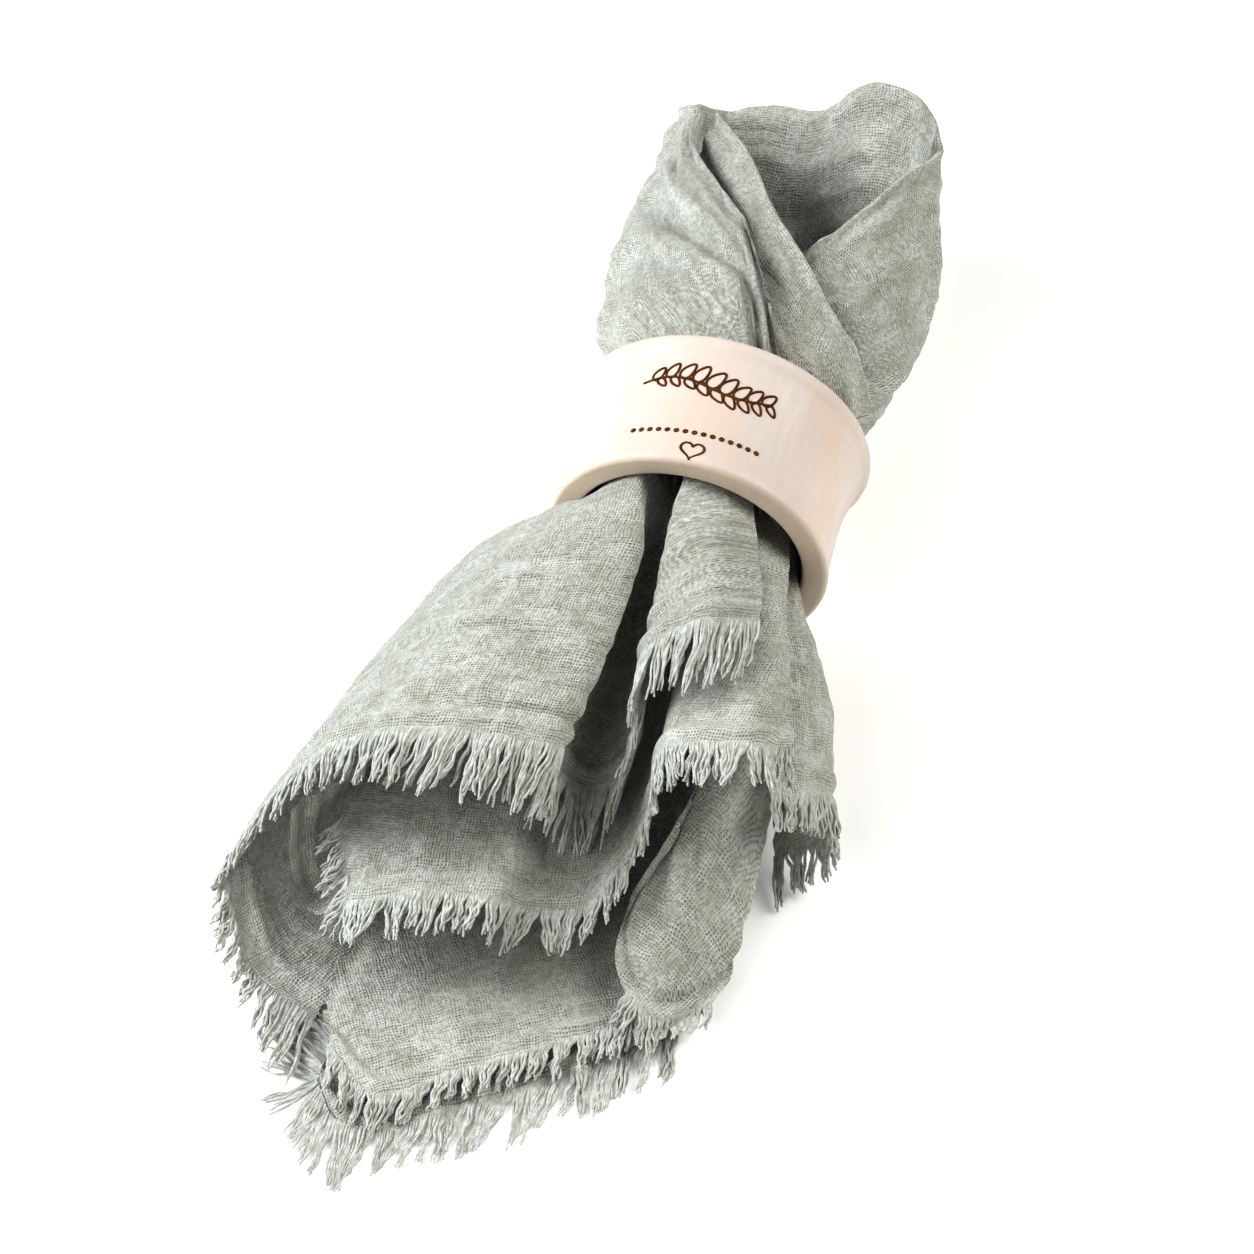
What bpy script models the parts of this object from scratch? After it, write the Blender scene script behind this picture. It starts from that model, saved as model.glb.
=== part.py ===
"""A muslin napkin folded in four, wrapped into a cone and drawn through a turned wooden ring.

The ring's axis lies along Y.  Towards +Y the folded head of the napkin opens as a soft pocket,
towards -Y its four plies fan out in tiers, each ending in a fringe of its own loosened yarn.
Lengths are in millimetres until the meshes are made.  The floor is the plane z = 0.
"""
import math

import bmesh
import bpy
from mathutils import Matrix, Vector

MM = 0.001
GAP = 0.7             # clear space between a hem and its fringe

# Ring
RING_LENGTH = 26.0
HEAD_RIM_RADIUS = 25.0
TAIL_RIM_RADIUS = 23.6
WAIST_RADIUS = 22.8
BORE_RADIUS = 19.2
RIM_ROUNDING = 1.7
BORE_ROUNDING = 1.0
RING_STEPS = 72
AXIS_HEIGHT = 24.7    # a little under the head rim's radius, so the rim has a flat to stand on

# Cloth
CLOTH = 1.0           # thickness of one ply
PLY_SPREAD = 1.7      # from the middle of one ply to the middle of the next, where two are folded together
WAIST_BUNDLE_RADIUS = 17.6
WAIST_BUNDLE_LENGTH = 17.0
ROOT_SHRINK = 0.86    # how far the fold lines draw in between the ring's mouth and its middle
ROOT_Y = 3.0
MOUTH_Y = 13.0

# Fringe
FRINGE_LENGTH = 10.5
SHORT_FRINGE_LENGTH = 7.5
SIDE_FRINGE_LENGTH = 5.0
FRINGE_BAND = 2.4     # the part of a comb that is still whole, next to the cloth
TOOTH_PITCH = 5.0
TOOTH_SHARE = 0.7     # of the pitch that is yarn
FRINGE_THICKNESS = 1.0
FOURTH_BED = 1.4      # the fourth ply's yarn lies on the bottom ply
THIRD_BED = 3.4       # and the third ply's yarn on both
LENGTH_CHANGE = 0.55, 0.75    # shares of a hem between which its yarn goes from one length to the other
HEM_SAMPLES = 60      # points on each stretch of a hem from which it is measured

# Each ply of the tail is a fan of fold lines from the ring's mouth over a knee to the hem.
# The height is above the ring's axis.  Columns:
# name, mouth x, mouth z, knee x, knee y, knee z, hem x, hem y, hem z
TOP_PLY = [
    ("strip fold",     10.5,  13.5,  15.5, -26.0,  14.0,  17.5, -36.0,  15.6),
    ("strip crest",     5.5,  16.5,   8.0, -26.0,  18.5,   9.0, -40.5,  18.0),
    ("strip left",     -0.5,  17.0,   0.0, -26.0,  16.5,   0.3, -45.5,  12.4),
    ("strip roll",     -1.2,  13.5,   0.2, -28.5,  11.5,   2.4, -50.0,   7.0),
    ("valley right",   -1.5,  10.0,  -0.6, -31.0,   5.6,   2.2, -56.5,   0.8),
    ("valley floor",   -3.2,   6.6,  -4.8, -33.0,  -0.6,  -4.2, -59.4,  -6.2),
    ("valley left",    -5.2,  11.2,  -8.6, -32.0,   6.6, -10.6, -61.8,   2.2),
    ("lobe right",     -7.0,  16.0,  -7.8, -31.5,  15.8,  -9.0, -65.6,  12.2),
    ("lobe crest",    -11.5,  13.8, -19.0, -32.0,  17.8, -28.0, -68.5,  14.0),
    ("lobe shoulder", -15.5,   9.0, -29.5, -30.0,  11.5, -43.5, -71.5,   8.0),
    ("lobe side",     -17.7,   2.0, -36.5, -29.5,   1.0, -55.0, -80.0,  -5.0),
    ("lobe under",    -16.8,  -5.5, -36.0, -31.0, -10.5, -56.5, -87.0, -13.5),
    ("lobe foot",     -14.0, -10.5, -31.5, -34.0, -18.5, -50.0, -98.0, -19.5),
    ("lobe toe",      -12.5, -12.5, -29.0, -38.0, -21.2, -38.5, -102.5, -22.7),
]
SECOND_PLY = [
    ("under fold",     16.4,   4.3,  21.0, -30.0,   7.2,  27.5, -53.5,   7.5),
    ("under crest",    11.0,   8.5,  17.0, -30.0,  11.5,  20.5, -58.0,  12.5),
    ("under left",      5.0,  10.0,   8.0, -33.0,  10.0,   8.0, -59.5,   9.0),
    ("curl top",        4.2,   7.0,   5.2, -38.0,   4.0,   7.2, -63.0,   2.0),
    ("curl low",        3.2,   3.0,   3.8, -42.0,  -3.0,   4.9, -70.0,  -5.6),
    ("inner right",    -1.0,  -1.5,  -1.5, -44.0,  -8.5,  -0.5, -77.5, -12.8),
    ("inner drop",     -3.5,  -3.5,   -8.0, -46.0,  -9.5,   -9.8, -80.5, -12.4),
    ("inner middle",   -6.0,  -2.0, -12.0, -47.0,  -5.5, -13.5, -83.0,  -6.8),
    ("inner crest",    -9.0,  -2.0, -24.0, -52.0,  -4.0, -25.0, -86.0,  -6.0),
    ("inner left",    -12.0,  -3.0, -33.0, -60.0,  -4.0, -33.5, -88.5,  -8.0),
    ("inner edge",    -13.5,  -3.5, -40.0, -68.0,  -4.0, -36.5, -88.5, -10.0),
]
RIGHT_PLY = [
    ("side inner",     14.4,  -0.4,  19.4, -30.0,   2.0,  24.8, -57.0,   1.5),
    ("side top",       17.9,  -2.0,  26.0, -29.0,  -3.0,  30.0, -53.0,  -4.0),
    ("side",           17.2,  -6.5,  28.0, -28.0, -10.5,  34.0, -48.5, -12.0),
    ("side under",     15.5, -10.0,  25.0, -28.0, -17.5,  31.5, -50.0, -19.0),
    ("side foot",      12.5, -12.8,  18.5, -30.0, -21.5,  25.5, -54.0, -22.6),
]
THIRD_PLY = [
    ("roll edge",       7.0,   4.0,  14.0, -45.0,   4.2,  12.4, -66.5,  -3.2),
    ("roll left",       9.0,   3.0,  16.5, -47.0,   5.2,   5.6, -80.0, -15.6),
    ("roll middle",    11.0,   0.5,  19.0, -49.0,   3.5,  12.5, -90.5, -19.5),
    ("roll right",     13.0,  -3.0,   23.0, -51.0,  -2.5,   19.5, -87.0, -21.0),
    ("roll side",      13.5,  -7.0,   24.0, -50.0, -11.0,   24.5, -79.0, -20.0),
    ("roll foot",      11.0, -10.0,   18.0, -48.0, -19.0,   20.0, -72.0, -21.8),
]
FOURTH_PLY = [
    ("floor right",     6.0, -11.0,   10.0, -50.0, -21.5,   12.5, -89.5, -22.4),
    ("floor middle",    0.0, -12.0,   -4.0, -52.0, -22.0,   -2.0, -99.0, -22.2),
    ("floor left",     -5.0, -11.0,  -16.0, -54.0, -22.0,  -14.0, -107.0, -22.2),
    ("floor corner",   -8.0,  -9.5,  -25.0, -56.0, -21.5,  -25.0, -114.5, -22.4),
    ("floor edge",    -10.0,  -8.0, -38.0, -80.0, -20.8, -34.5, -107.5, -22.1),
]
BOTTOM_PLY = [
    ("bottom right",    8.0, -15.5,   15.0, -44.0, -24.2,   18.0, -88.0, -24.2),
    ("bottom middle",   2.0, -16.8,    3.0, -44.0, -24.2,    3.0, -101.0, -24.2),
    ("bottom left",    -4.0, -16.5,  -10.0, -44.0, -24.2,  -12.5, -112.0, -24.2),
    ("bottom corner",  -8.0, -15.0,  -21.0, -46.0, -24.2,  -28.0, -120.0, -24.2),
    ("bottom edge",   -10.5, -13.8,  -29.0, -48.0, -24.2,  -36.0, -112.5, -24.2),
]
# The head is two plies folded over at the rim, so its lines end on the fold.  Columns:
# name, mouth x, mouth z, knee x, knee y, knee z, rim x, rim y, rim z
HEAD_WRAP = [
    ("flap front",      8.5,  15.0,   8.2,  20.0,  17.3,   6.3,  26.0,  19.0),
    ("flap lower",      2.5,  17.0,   1.5,  26.0,  19.6,  -1.0,  38.0,  19.0),
    ("flap middle",    -4.0,  16.6,  -7.0,  30.0,  18.8, -10.0,  49.5,  16.5),
    ("flap upper",    -10.3,  13.7, -16.0,  34.0,  15.0, -18.0,  62.0,  12.0),
    ("peak",          -14.8,   8.6, -22.5,  37.0,   8.5, -20.0,  76.0,   7.5),
    ("left",          -17.1,   1.2, -26.0,  39.0,   0.0, -23.5,  79.0,   2.0),
    ("left low",      -15.9,  -6.3, -24.0,  41.0, -10.5, -18.5,  83.0,  -4.0),
    ("belly left",    -10.5, -13.4, -15.5,  42.0, -19.6, -10.0,  86.0,  -4.0),
    ("belly",          -1.0, -17.1,  -2.0,  43.0, -22.8,  -1.0,  85.5,  -1.5),
    ("belly right",     8.7, -14.6,  12.0,  43.0, -20.5,   7.0,  87.0,   6.0),
    ("right low",      14.8,  -8.5,  22.0,  42.0, -12.0,  16.0,  85.5,   6.0),
    ("right",          16.8,  -1.5,  25.5,  42.0,  -1.0,  21.5,  77.0,   4.5),
    ("right top",      12.6,   4.6,  22.7,  39.0,   6.5,  18.0,  65.0,  10.5),
    ("inner flap",      7.6,   7.8,  15.6,  33.0,  10.2,  13.5,  54.0,  13.0),
    ("inner point",     2.0,   9.4,   7.0,  29.0,  11.5,   5.5,  42.5,  12.3),
    ("tuck",           -4.0,   8.4,  -2.0,  27.0,  10.0,  -3.5,  36.0,  10.8),
]
LAPEL = [
    ("lapel end",      16.3,   5.2,  20.8,  17.0,   5.4,  22.4,  20.8,   4.4),
    ("lapel lower",    13.0,   9.6,  16.6,  20.0,  11.3,  17.8,  26.5,  10.6),
    ("lapel third",     8.0,  11.9,  10.5,  23.0,  14.4,  12.3,  31.0,  14.0),
    ("lapel middle",    2.6,  13.3,   3.6,  28.0,  15.6,   6.5,  38.5,  15.8),
    ("lapel upper",    -3.5,  13.1,  -5.0,  32.0,  15.0,  -1.0,  48.0,  15.5),
    ("lapel high",     -8.3,  10.2, -13.0,  36.0,  11.3,  -8.0,  60.5,  12.8),
    ("lapel peak",    -11.4,   6.2, -18.5,  40.0,   5.5, -16.0,  72.0,   8.0),
]


def collection(name, hidden=False):
    made = bpy.data.collections.new(name)
    bpy.context.scene.collection.children.link(made)
    made.hide_render = hidden
    return made


def material(name, colour, roughness):
    made = bpy.data.materials.new(name)
    made.use_nodes = True
    shader = made.node_tree.nodes["Principled BSDF"]
    shader.inputs["Base Color"].default_value = (*colour, 1.0)
    shader.inputs["Roughness"].default_value = roughness
    shader.inputs["Metallic"].default_value = 0.0
    return made


def add_object(name, bm, finish, home):
    """A named object from a bmesh in millimetres, smooth but for its sharp edges."""
    bmesh.ops.scale(bm, vec=(MM, MM, MM), verts=bm.verts)
    mesh = bpy.data.meshes.new(name)
    bm.to_mesh(mesh)
    bm.free()
    mesh.shade_smooth()
    mesh.set_sharp_from_angle(angle=math.radians(50))
    mesh.materials.append(finish)
    made = bpy.data.objects.new(name, mesh)
    home.objects.link(made)
    return made


def spline(points, at):
    """The point at a share 0..1 along a Catmull-Rom curve through the given points."""
    last = len(points) - 1
    place = min(max(at, 0.0), 1.0) * last
    k = min(int(place), last - 1)
    t = place - k
    p1, p2 = points[k], points[k + 1]
    p0 = points[k - 1] if k > 0 else p1 * 2 - p2
    p3 = points[k + 2] if k + 2 <= last else p2 * 2 - p1
    bend = (p0 * 2 - p1 * 5 + p2 * 4 - p3) * t * t + (p1 * 3 - p0 - p2 * 3 + p3) * t ** 3
    return p1 + ((p2 - p0) * t + bend) * 0.5


def fold_line(row, mouth_y):
    """The four points of one fold line: root inside the ring, mouth, knee, and hem or rim."""
    _, mouth_x, mouth_z, *outside = row
    root_y = math.copysign(ROOT_Y, mouth_y)
    points = [
        Vector((mouth_x * ROOT_SHRINK, root_y, mouth_z * ROOT_SHRINK)),
        Vector((mouth_x, mouth_y, mouth_z)),
        Vector(outside[0:3]),
        Vector(outside[3:6]),
    ]
    lift = Vector((0, 0, AXIS_HEIGHT))
    return [p + lift for p in points]


class Ply:
    """A surface over a table of fold lines: s runs across the lines, t from the ring outwards."""

    def __init__(self, table, mouth_y):
        self.lines = [fold_line(row, mouth_y) for row in table]

    def at(self, s, t):
        return spline([spline(line, t) for line in self.lines], s)

    def slopes(self, s, t, step=0.01):
        across = self.at(min(s + step, 1), t) - self.at(max(s - step, 0), t)
        along = self.at(s, min(t + step, 1)) - self.at(s, max(t - step, 0))
        return across.normalized(), along.normalized()

    def normal(self, s, t):
        across, along = self.slopes(s, t)
        return across.cross(along).normalized()


def rested(place, thickness):
    """The same place, but no lower than where cloth of this thickness lies flat on the floor."""
    place.z = max(place.z, thickness / 2)
    return place


def grid_faces(bm, rows):
    for lower, upper in zip(rows, rows[1:]):
        for k in range(len(lower) - 1):
            bm.faces.new((lower[k], lower[k + 1], upper[k + 1], upper[k]))


def solidify(made, thickness):
    shell = made.modifiers.new("Thickness", "SOLIDIFY")
    shell.thickness = thickness * MM
    shell.offset = 0.0
    shell.use_even_offset = False
    shell.use_rim = True


def single_ply(name, ply, across, along, finish, home):
    """One ply of the tail, from inside the ring to its hem."""
    bm = bmesh.new()
    rows = [
        [bm.verts.new(rested(ply.at(i / across, j / along), CLOTH)) for i in range(across + 1)]
        for j in range(along + 1)
    ]
    grid_faces(bm, rows)
    made = add_object(name, bm, finish, home)
    solidify(made, CLOTH)
    return made


def folded_pair(name, ply, across, along, finish, home):
    """Two plies of the head with the fold between them at the rim: out on one, back on the other."""
    bm = bmesh.new()
    half = PLY_SPREAD / 2
    turns = (math.pi / 2, 0.0, -math.pi / 2)
    stops = [(j / along, None) for j in range(along)] + [(1.0, turn) for turn in turns]
    stops += [(j / along, -1.0) for j in reversed(range(along))]
    rows = []
    for t, turn in stops:
        row = []
        for i in range(across + 1):
            s = i / across
            normal = ply.normal(s, t)
            if turn is None:
                offset = normal * half
            elif t < 1.0:
                offset = -normal * half
            else:
                outward = ply.slopes(s, t)[1]
                offset = normal * half * math.sin(turn) + outward * half * math.cos(turn)
            row.append(bm.verts.new(rested(ply.at(s, t) + offset, CLOTH)))
        rows.append(row)
    grid_faces(bm, rows)
    made = add_object(name, bm, finish, home)
    solidify(made, CLOTH)
    return made


def waist_bundle(finish, home):
    """The cloth drawn together inside the ring, packed too tightly to tell its plies apart."""
    bm = bmesh.new()
    placing = Matrix.Translation((0, 0, AXIS_HEIGHT)) @ Matrix.Rotation(math.pi / 2, 4, "X")
    bmesh.ops.create_cone(
        bm, cap_ends=True, segments=28, matrix=placing,
        radius1=WAIST_BUNDLE_RADIUS, radius2=WAIST_BUNDLE_RADIUS, depth=WAIST_BUNDLE_LENGTH,
    )
    return add_object("napkin", bm, finish, home)


def hem_path(ply, spans, step):
    """Points and outward directions along a hem, given as (s, t) corners, a step apart."""
    fine = []
    for (s0, t0), (s1, t1) in zip(spans, spans[1:]):
        for k in range(HEM_SAMPLES):
            w = k / HEM_SAMPLES
            fine.append((s0 + (s1 - s0) * w, t0 + (t1 - t0) * w))
    fine.append(spans[-1])
    places = [ply.at(s, t) for s, t in fine]
    lengths = [0.0]
    for a, b in zip(places, places[1:]):
        lengths.append(lengths[-1] + (b - a).length)
    count = max(int(lengths[-1] / step), 2)
    path = []
    k = 0
    for n in range(count + 1):
        wanted = lengths[-1] * n / count
        while k < len(fine) - 2 and lengths[k + 1] < wanted:
            k += 1
        w = (wanted - lengths[k]) / max(lengths[k + 1] - lengths[k], 1e-6)
        s = fine[k][0] + (fine[k + 1][0] - fine[k][0]) * w
        t = fine[k][1] + (fine[k + 1][1] - fine[k][1]) * w
        path.append((ply.at(s, t), ply.normal(s, t), (places[k + 1] - places[k]).normalized()))
    points = [p for p, _, _ in path]
    outwards = [normal.cross(tangent).normalized() for _, normal, tangent in path]
    for _ in range(3):
        outwards = [
            (outwards[max(n - 1, 0)] + outwards[n] + outwards[min(n + 1, count)]).normalized()
            for n in range(count + 1)
        ]
    return points, outwards


def tooth_length(share, lengths):
    """The length of yarn at a share of the hem: it goes from the first to the last past the middle."""
    start, end = LENGTH_CHANGE
    turned = min(max((share - start) / (end - start), 0.0), 1.0)
    return lengths[0] + (lengths[1] - lengths[0]) * turned


def fringe_comb(name, ply, spans, lengths, bed, finish, home):
    """A comb of yarn along a hem: a whole band next to the cloth and a row of teeth beyond it.

    The lengths are those of the first and the last tooth.
    The bed is the height of what the yarn comes to lie on, the floor or the ply below.
    """
    points, outwards = hem_path(ply, spans, TOOTH_PITCH / 2)
    bm = bmesh.new()

    def place(n, reach):
        return rested(points[n] + outwards[n] * reach, FRINGE_THICKNESS + bed * 2)

    band = [[bm.verts.new(place(n, reach)) for n in range(len(points))] for reach in (GAP, FRINGE_BAND)]
    grid_faces(bm, band)
    narrowing = (1 - TOOTH_SHARE) / 2
    for k in range(0, len(points) - 1, 2):
        below = band[1][k], band[1][k + 1]
        for share in (0.5, 1.0):
            beyond = [(tooth_length(n / len(points), lengths) - FRINGE_BAND) * share for n in (k, k + 1)]
            left, right = place(k, FRINGE_BAND + beyond[0]), place(k + 1, FRINGE_BAND + beyond[1])
            inset = (right - left) * narrowing
            above = bm.verts.new(left + inset), bm.verts.new(right - inset)
            bm.faces.new((below[0], below[1], above[1], above[0]))
            below = above
    made = add_object(name, bm, finish, home)
    solidify(made, FRINGE_THICKNESS)
    return made


def arc(centre_x, centre_y, radius, start, end, steps):
    return [
        (
            centre_x + radius * math.cos(math.radians(start + (end - start) * k / steps)),
            centre_y + radius * math.sin(math.radians(start + (end - start) * k / steps)),
        )
        for k in range(steps + 1)
    ]


def ring_profile():
    """The turned section: radius and place along the axis, down the waisted outer side and back up."""
    half = RING_LENGTH / 2
    r, b = RIM_ROUNDING, BORE_ROUNDING
    outline = arc(HEAD_RIM_RADIUS - r, half - r, r, 90, 0, 4)
    for share in (0.62, 0.4, 0.2, 0.0, -0.2, -0.4, -0.62):
        rim = HEAD_RIM_RADIUS if share > 0 else TAIL_RIM_RADIUS
        outline.append((WAIST_RADIUS + (rim - WAIST_RADIUS) * share ** 2, half * share))
    outline += arc(TAIL_RIM_RADIUS - r, r - half, r, 0, -90, 4)
    outline += arc(BORE_RADIUS + b, b - half, b, -90, -180, 3)
    outline += arc(BORE_RADIUS + b, half - b, b, 180, 90, 3)
    return outline


def turned_ring(finish, home, cutters):
    bm = bmesh.new()
    ends = [bm.verts.new((radius, 0, along)) for radius, along in ring_profile()]
    for k, vert in enumerate(ends):
        bm.edges.new((vert, ends[(k + 1) % len(ends)]))
    ring = add_object("ring", bm, finish, home)
    ring.rotation_euler = (-math.pi / 2, 0, 0)
    ring.location = (0, 0, AXIS_HEIGHT * MM)
    screw = ring.modifiers.new("Turning", "SCREW")
    screw.steps = RING_STEPS
    screw.render_steps = RING_STEPS
    screw.use_merge_vertices = True
    screw.merge_threshold = 0.00001
    box = bmesh.new()
    bmesh.ops.create_cube(box, size=80, matrix=Matrix.Translation((0, 0, -40)))
    floor = add_object("floor cutter", box, finish, cutters)
    floor.display_type = "WIRE"
    floor.hide_render = True
    flat = ring.modifiers.new("Standing flat", "BOOLEAN")
    flat.operation = "DIFFERENCE"
    flat.object = floor
    return ring


def stand_over_origin(parts):
    """Move everything together until the middle of the whole outline is over the origin."""
    bpy.context.view_layer.update()
    graph = bpy.context.evaluated_depsgraph_get()
    corners = []
    for part in parts.objects:
        built = part.evaluated_get(graph)
        corners += [built.matrix_world @ Vector(corner) for corner in built.bound_box]
    low_x, high_x = min(c.x for c in corners), max(c.x for c in corners)
    low_y, high_y = min(c.y for c in corners), max(c.y for c in corners)
    for each in bpy.data.objects:
        each.location.x -= (low_x + high_x) / 2
        each.location.y -= (low_y + high_y) / 2


def main():
    for old in list(bpy.data.objects):
        bpy.data.objects.remove(old)
    parts = collection("napkin in a ring")
    cutters = collection("cutters", hidden=True)
    folds = collection("napkin folds", hidden=True)
    muslin = material("sage muslin", (0.42, 0.45, 0.40), 0.95)
    yarn = material("sage yarn", (0.50, 0.53, 0.47), 0.95)
    maple = material("pale maple", (0.78, 0.68, 0.58), 0.5)

    turned_ring(maple, parts, cutters)

    napkin = waist_bundle(muslin, parts)
    tail = {}
    for name, table, across, along in (
        ("top ply", TOP_PLY, 26, 12),
        ("second ply", SECOND_PLY, 18, 11),
        ("right ply", RIGHT_PLY, 8, 7),
        ("third ply", THIRD_PLY, 10, 9),
        ("fourth ply", FOURTH_PLY, 8, 9),
        ("bottom ply", BOTTOM_PLY, 8, 10),
    ):
        tail[name] = Ply(table, -MOUTH_Y)
        single_ply(name, tail[name], across, along, muslin, folds)
    folded_pair("head wrap", Ply(HEAD_WRAP, MOUTH_Y), 30, 8, muslin, folds)
    folded_pair("lapel", Ply(LAPEL, MOUTH_Y), 12, 7, muslin, folds)
    for fold in folds.objects:
        fold.display_type = "WIRE"
        fold.hide_render = True
    joining = napkin.modifiers.new("One cloth", "BOOLEAN")
    joining.operation = "UNION"
    joining.operand_type = "COLLECTION"
    joining.collection = folds

    hem = [(0.0, 1.0), (1.0, 1.0)]
    hem_and_side = hem + [(1.0, 0.8)]
    half_hem = [(0.22, 1.0), (0.5, 1.0)]
    even = (FRINGE_LENGTH, FRINGE_LENGTH)
    for name, ply_name, spans, lengths, bed in (
        ("fringe_top", "top ply", hem, (FRINGE_LENGTH, SIDE_FRINGE_LENGTH), 0.0),
        ("fringe_second", "second ply", hem, even, 0.0),
        ("fringe_right", "right ply", hem, even, 0.0),
        ("fringe_third", "third ply", half_hem, (SHORT_FRINGE_LENGTH, SHORT_FRINGE_LENGTH), THIRD_BED),
        ("fringe_fourth", "fourth ply", hem, (SHORT_FRINGE_LENGTH, SHORT_FRINGE_LENGTH), FOURTH_BED),
        ("fringe_bottom", "bottom ply", hem_and_side, (FRINGE_LENGTH, SHORT_FRINGE_LENGTH), 0.0),
    ):
        fringe_comb(name, tail[ply_name], spans, lengths, bed, yarn, parts)

    stand_over_origin(parts)


main()
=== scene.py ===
# %% [markdown]
# # A muslin napkin drawn through a turned wooden ring
# The napkin is one square of crinkled muslin, folded in quarters, rolled on its diagonal and pulled
# through a ring turned from pale maple.  On one side the folded corner opens as a soft pocket.  On the
# other the four plies fan out in tiers, and each ends in a fringe of its own loosened yarns.
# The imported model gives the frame: every piece below is placed from the ring's own box.

# %% Load the frame
import math

import bmesh
import bpy
import numpy as np
from mathutils import Matrix, Vector, noise


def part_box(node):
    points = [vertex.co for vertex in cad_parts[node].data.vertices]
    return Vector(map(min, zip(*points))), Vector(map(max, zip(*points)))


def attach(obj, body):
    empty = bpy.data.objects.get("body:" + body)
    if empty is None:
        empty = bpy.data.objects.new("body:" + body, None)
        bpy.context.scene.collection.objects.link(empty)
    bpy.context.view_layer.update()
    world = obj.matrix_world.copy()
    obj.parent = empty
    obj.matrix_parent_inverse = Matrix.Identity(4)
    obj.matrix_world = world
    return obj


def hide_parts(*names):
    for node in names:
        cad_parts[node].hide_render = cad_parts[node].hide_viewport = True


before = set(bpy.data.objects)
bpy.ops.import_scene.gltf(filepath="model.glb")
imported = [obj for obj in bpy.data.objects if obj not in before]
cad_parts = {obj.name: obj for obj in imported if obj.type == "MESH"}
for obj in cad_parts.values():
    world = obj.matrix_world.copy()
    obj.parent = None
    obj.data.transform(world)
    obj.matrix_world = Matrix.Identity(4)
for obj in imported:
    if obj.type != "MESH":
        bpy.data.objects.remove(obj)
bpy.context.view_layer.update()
MM = 0.001
ring_low, ring_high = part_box("ring")
AXIS_HEIGHT = 24.7
RING_MIDDLE = np.array([(ring_low.x + ring_high.x) / 2, (ring_low.y + ring_high.y) / 2, AXIS_HEIGHT * MM])
print("ring middle in mm:", np.round(RING_MIDDLE / MM, 2))

# %% [markdown]
# ## Small helpers
# Every finished piece is a mesh whose object stays at the origin, so its place is in its vertices.
# Measures below are millimetres from the middle of the ring, and `placed` turns them into metres.


# %% Helpers for finished pieces
def placed(points):
    return np.asarray(points, float) * MM + RING_MIDDLE


def finished(name, mesh, finish):
    mesh.materials.clear()
    mesh.materials.append(finish)
    piece = bpy.data.objects.new(name, mesh)
    bpy.context.scene.collection.objects.link(piece)
    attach(piece, "root")
    print(name, "has", len(mesh.vertices), "points and", len(mesh.polygons), "faces")
    return piece


def mesh_from(name, bm):
    mesh = bpy.data.meshes.new(name)
    bm.to_mesh(mesh)
    bm.free()
    mesh.shade_smooth()
    return mesh


# %% [markdown]
# ## Material helpers
# A material is a small graph of nodes.  `Nodes` adds one node at a time and links it, so each finish
# below reads from top to bottom like a recipe.


# %% Node helper
class Nodes:
    def __init__(self, name):
        self.material = bpy.data.materials.new(name)
        self.material.use_nodes = True
        self.tree = self.material.node_tree
        self.shader = self.tree.nodes["Principled BSDF"]

    def add(self, kind, settings=None, **inputs):
        node = self.tree.nodes.new(kind)
        for key, value in (settings or {}).items():
            setattr(node, key, value)
        for key, value in inputs.items():
            self.feed(node, key.replace("_", " "), value)
        return node

    def feed(self, node, key, value):
        socket = node.inputs[int(key)] if key.isdigit() else node.inputs[key]
        if isinstance(value, bpy.types.NodeSocket):
            self.tree.links.new(value, socket)
        else:
            socket.default_value = value

    def math(self, operation, a, b=0.0, c=0.0, clamp=False):
        node = self.add("ShaderNodeMath", {"operation": operation, "use_clamp": clamp})
        for socket, value in zip(node.inputs, (a, b, c)):
            if isinstance(value, bpy.types.NodeSocket):
                self.tree.links.new(value, socket)
            else:
                socket.default_value = value
        return node.outputs[0]

    def noise(self, vector, scale, detail=2.0, roughness=0.5):
        node = self.add("ShaderNodeTexNoise", Vector=vector, Scale=scale, Detail=detail, Roughness=roughness)
        return node.outputs["Fac"]

    def stretched(self, vector, scale, shift=(0, 0, 0)):
        node = self.add("ShaderNodeMapping", Vector=vector, Scale=scale, Location=shift)
        return node.outputs["Vector"]

    def ramp(self, value, low, high, to_low=0.0, to_high=1.0):
        node = self.add("ShaderNodeMapRange", {"interpolation_type": "SMOOTHSTEP"}, Value=value)
        for key, number in (("From Min", low), ("From Max", high), ("To Min", to_low), ("To Max", to_high)):
            node.inputs[key].default_value = number
        return node.outputs["Result"]

    def blend(self, share, first, second, kind="MIX"):
        node = self.add("ShaderNodeMix", {"data_type": "RGBA", "blend_type": kind})
        for key, value in ((0, share), (6, first), (7, second)):
            if isinstance(value, bpy.types.NodeSocket):
                self.tree.links.new(value, node.inputs[key])
            else:
                node.inputs[key].default_value = value if key == 0 else (*value, 1.0)
        return node.outputs[2]

    def raised(self, height, distance, strength=1.0, normal=None):
        node = self.add("ShaderNodeBump", Height=height, Distance=distance, Strength=strength)
        if normal is not None:
            self.tree.links.new(normal, node.inputs["Normal"])
        return node.outputs["Normal"]


# %% [markdown]
# ## Crinkled muslin
# Muslin is a loose plain weave: fat and thin yarns with small holes between them.  Washed, it crinkles
# into soft ridges across its length and a fine pucker all over.  The big ridges are modelled in the
# mesh; the weave, the pucker, thicker yarns (slubs) and thin places come from nodes.  They read the
# cloth's own UV map, in which one unit is 100 mm of flat cloth, so the weave follows every fold.
# A little light passes through such thin cloth, which a Translucent shader adds.  The gaps between the yarns
# and the low points of the fine crepe are painted dark, as painted shade.

# %% Muslin finish
YARN_PITCH = 0.0050


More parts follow.
